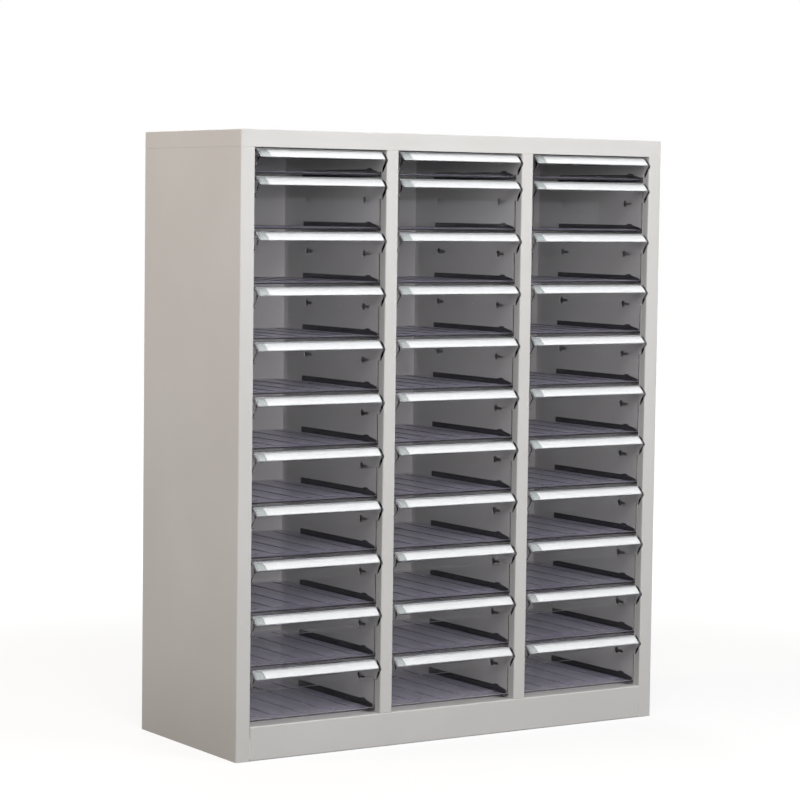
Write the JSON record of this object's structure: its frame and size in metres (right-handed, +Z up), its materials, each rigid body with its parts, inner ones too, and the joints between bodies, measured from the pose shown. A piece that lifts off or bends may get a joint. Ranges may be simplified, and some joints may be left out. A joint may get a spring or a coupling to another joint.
{
  "type": "multi-drawer cabinet",
  "caption": "Floor-standing steel document cabinet: columns of clear plastic drawers slide on runners hung in punched walls, each pulled by a full-width lip with a label strip.",
  "frame": {"origin": "on the floor, under the middle of the cabinet's whole width and depth, drawer lips included", "axes": "+Z up, +X to the right seen from the front, drawers slide out along -Y"},
  "size_m": [0.88, 0.3499, 1.062],
  "materials": {
    "painted_steel": "light warm grey powder coat, fine texture, satin",
    "runner_plastic": "near-black moulded plastic, satin",
    "tray_plastic": "clear plastic with a slight smoky blue-grey tint, glossy"
  },
  "bodies": {
    "cabinet": {"top_cover": "painted_steel", "side_skin_left": "painted_steel", "side_skin_right": "painted_steel", "side_liner_left": "painted_steel", "side_liner_right": "painted_steel", "partition_left": "painted_steel", "partition_right": "painted_steel", "back_panel": "painted_steel", "floor_pan": "painted_steel", "plinth_front": "painted_steel", "runners_left_column_left_wall": "runner_plastic", "runners_left_column_right_wall": "runner_plastic", "runners_middle_column_left_wall": "runner_plastic", "runners_middle_column_right_wall": "runner_plastic", "runners_right_column_left_wall": "runner_plastic", "runners_right_column_right_wall": "runner_plastic"},
    "drawer_left_01": {"drawer_left_01": "tray_plastic"},
    "drawer_left_02": {"drawer_left_02": "tray_plastic"},
    "drawer_left_03": {"drawer_left_03": "tray_plastic"},
    "drawer_left_04": {"drawer_left_04": "tray_plastic"},
    "drawer_left_05": {"drawer_left_05": "tray_plastic"},
    "drawer_left_06": {"drawer_left_06": "tray_plastic"},
    "drawer_left_07": {"drawer_left_07": "tray_plastic"},
    "drawer_left_08": {"drawer_left_08": "tray_plastic"},
    "drawer_left_09": {"drawer_left_09": "tray_plastic"},
    "drawer_left_10": {"drawer_left_10": "tray_plastic"},
    "drawer_left_11": {"drawer_left_11": "tray_plastic"},
    "drawer_middle_01": {"drawer_middle_01": "tray_plastic"},
    "drawer_middle_02": {"drawer_middle_02": "tray_plastic"},
    "drawer_middle_03": {"drawer_middle_03": "tray_plastic"},
    "drawer_middle_04": {"drawer_middle_04": "tray_plastic"},
    "drawer_middle_05": {"drawer_middle_05": "tray_plastic"},
    "drawer_middle_06": {"drawer_middle_06": "tray_plastic"},
    "drawer_middle_07": {"drawer_middle_07": "tray_plastic"},
    "drawer_middle_08": {"drawer_middle_08": "tray_plastic"},
    "drawer_middle_09": {"drawer_middle_09": "tray_plastic"},
    "drawer_middle_10": {"drawer_middle_10": "tray_plastic"},
    "drawer_middle_11": {"drawer_middle_11": "tray_plastic"},
    "drawer_right_01": {"drawer_right_01": "tray_plastic"},
    "drawer_right_02": {"drawer_right_02": "tray_plastic"},
    "drawer_right_03": {"drawer_right_03": "tray_plastic"},
    "drawer_right_04": {"drawer_right_04": "tray_plastic"},
    "drawer_right_05": {"drawer_right_05": "tray_plastic"},
    "drawer_right_06": {"drawer_right_06": "tray_plastic"},
    "drawer_right_07": {"drawer_right_07": "tray_plastic"},
    "drawer_right_08": {"drawer_right_08": "tray_plastic"},
    "drawer_right_09": {"drawer_right_09": "tray_plastic"},
    "drawer_right_10": {"drawer_right_10": "tray_plastic"},
    "drawer_right_11": {"drawer_right_11": "tray_plastic"}
  },
  "joints": [
    {"name": "drawer_left_01_slide", "type": "slide", "parent": "cabinet", "child": "drawer_left_01", "axis": [0, -1, 0], "range_m": [0, 0.25]},
    {"name": "drawer_left_02_slide", "type": "slide", "parent": "cabinet", "child": "drawer_left_02", "axis": [0, -1, 0], "range_m": [0, 0.25]},
    {"name": "drawer_left_03_slide", "type": "slide", "parent": "cabinet", "child": "drawer_left_03", "axis": [0, -1, 0], "range_m": [0, 0.25]},
    {"name": "drawer_left_04_slide", "type": "slide", "parent": "cabinet", "child": "drawer_left_04", "axis": [0, -1, 0], "range_m": [0, 0.25]},
    {"name": "drawer_left_05_slide", "type": "slide", "parent": "cabinet", "child": "drawer_left_05", "axis": [0, -1, 0], "range_m": [0, 0.25]},
    {"name": "drawer_left_06_slide", "type": "slide", "parent": "cabinet", "child": "drawer_left_06", "axis": [0, -1, 0], "range_m": [0, 0.25]},
    {"name": "drawer_left_07_slide", "type": "slide", "parent": "cabinet", "child": "drawer_left_07", "axis": [0, -1, 0], "range_m": [0, 0.25]},
    {"name": "drawer_left_08_slide", "type": "slide", "parent": "cabinet", "child": "drawer_left_08", "axis": [0, -1, 0], "range_m": [0, 0.25]},
    {"name": "drawer_left_09_slide", "type": "slide", "parent": "cabinet", "child": "drawer_left_09", "axis": [0, -1, 0], "range_m": [0, 0.25]},
    {"name": "drawer_left_10_slide", "type": "slide", "parent": "cabinet", "child": "drawer_left_10", "axis": [0, -1, 0], "range_m": [0, 0.25]},
    {"name": "drawer_left_11_slide", "type": "slide", "parent": "cabinet", "child": "drawer_left_11", "axis": [0, -1, 0], "range_m": [0, 0.25]},
    {"name": "drawer_middle_01_slide", "type": "slide", "parent": "cabinet", "child": "drawer_middle_01", "axis": [0, -1, 0], "range_m": [0, 0.25]},
    {"name": "drawer_middle_02_slide", "type": "slide", "parent": "cabinet", "child": "drawer_middle_02", "axis": [0, -1, 0], "range_m": [0, 0.25]},
    {"name": "drawer_middle_03_slide", "type": "slide", "parent": "cabinet", "child": "drawer_middle_03", "axis": [0, -1, 0], "range_m": [0, 0.25]},
    {"name": "drawer_middle_04_slide", "type": "slide", "parent": "cabinet", "child": "drawer_middle_04", "axis": [0, -1, 0], "range_m": [0, 0.25]},
    {"name": "drawer_middle_05_slide", "type": "slide", "parent": "cabinet", "child": "drawer_middle_05", "axis": [0, -1, 0], "range_m": [0, 0.25]},
    {"name": "drawer_middle_06_slide", "type": "slide", "parent": "cabinet", "child": "drawer_middle_06", "axis": [0, -1, 0], "range_m": [0, 0.25]},
    {"name": "drawer_middle_07_slide", "type": "slide", "parent": "cabinet", "child": "drawer_middle_07", "axis": [0, -1, 0], "range_m": [0, 0.25]},
    {"name": "drawer_middle_08_slide", "type": "slide", "parent": "cabinet", "child": "drawer_middle_08", "axis": [0, -1, 0], "range_m": [0, 0.25]},
    {"name": "drawer_middle_09_slide", "type": "slide", "parent": "cabinet", "child": "drawer_middle_09", "axis": [0, -1, 0], "range_m": [0, 0.25]},
    {"name": "drawer_middle_10_slide", "type": "slide", "parent": "cabinet", "child": "drawer_middle_10", "axis": [0, -1, 0], "range_m": [0, 0.25]},
    {"name": "drawer_middle_11_slide", "type": "slide", "parent": "cabinet", "child": "drawer_middle_11", "axis": [0, -1, 0], "range_m": [0, 0.25]},
    {"name": "drawer_right_01_slide", "type": "slide", "parent": "cabinet", "child": "drawer_right_01", "axis": [0, -1, 0], "range_m": [0, 0.25]},
    {"name": "drawer_right_02_slide", "type": "slide", "parent": "cabinet", "child": "drawer_right_02", "axis": [0, -1, 0], "range_m": [0, 0.25]},
    {"name": "drawer_right_03_slide", "type": "slide", "parent": "cabinet", "child": "drawer_right_03", "axis": [0, -1, 0], "range_m": [0, 0.25]},
    {"name": "drawer_right_04_slide", "type": "slide", "parent": "cabinet", "child": "drawer_right_04", "axis": [0, -1, 0], "range_m": [0, 0.25]},
    {"name": "drawer_right_05_slide", "type": "slide", "parent": "cabinet", "child": "drawer_right_05", "axis": [0, -1, 0], "range_m": [0, 0.25]},
    {"name": "drawer_right_06_slide", "type": "slide", "parent": "cabinet", "child": "drawer_right_06", "axis": [0, -1, 0], "range_m": [0, 0.25]},
    {"name": "drawer_right_07_slide", "type": "slide", "parent": "cabinet", "child": "drawer_right_07", "axis": [0, -1, 0], "range_m": [0, 0.25]},
    {"name": "drawer_right_08_slide", "type": "slide", "parent": "cabinet", "child": "drawer_right_08", "axis": [0, -1, 0], "range_m": [0, 0.25]},
    {"name": "drawer_right_09_slide", "type": "slide", "parent": "cabinet", "child": "drawer_right_09", "axis": [0, -1, 0], "range_m": [0, 0.25]},
    {"name": "drawer_right_10_slide", "type": "slide", "parent": "cabinet", "child": "drawer_right_10", "axis": [0, -1, 0], "range_m": [0, 0.25]},
    {"name": "drawer_right_11_slide", "type": "slide", "parent": "cabinet", "child": "drawer_right_11", "axis": [0, -1, 0], "range_m": [0, 0.25]}
  ]
}
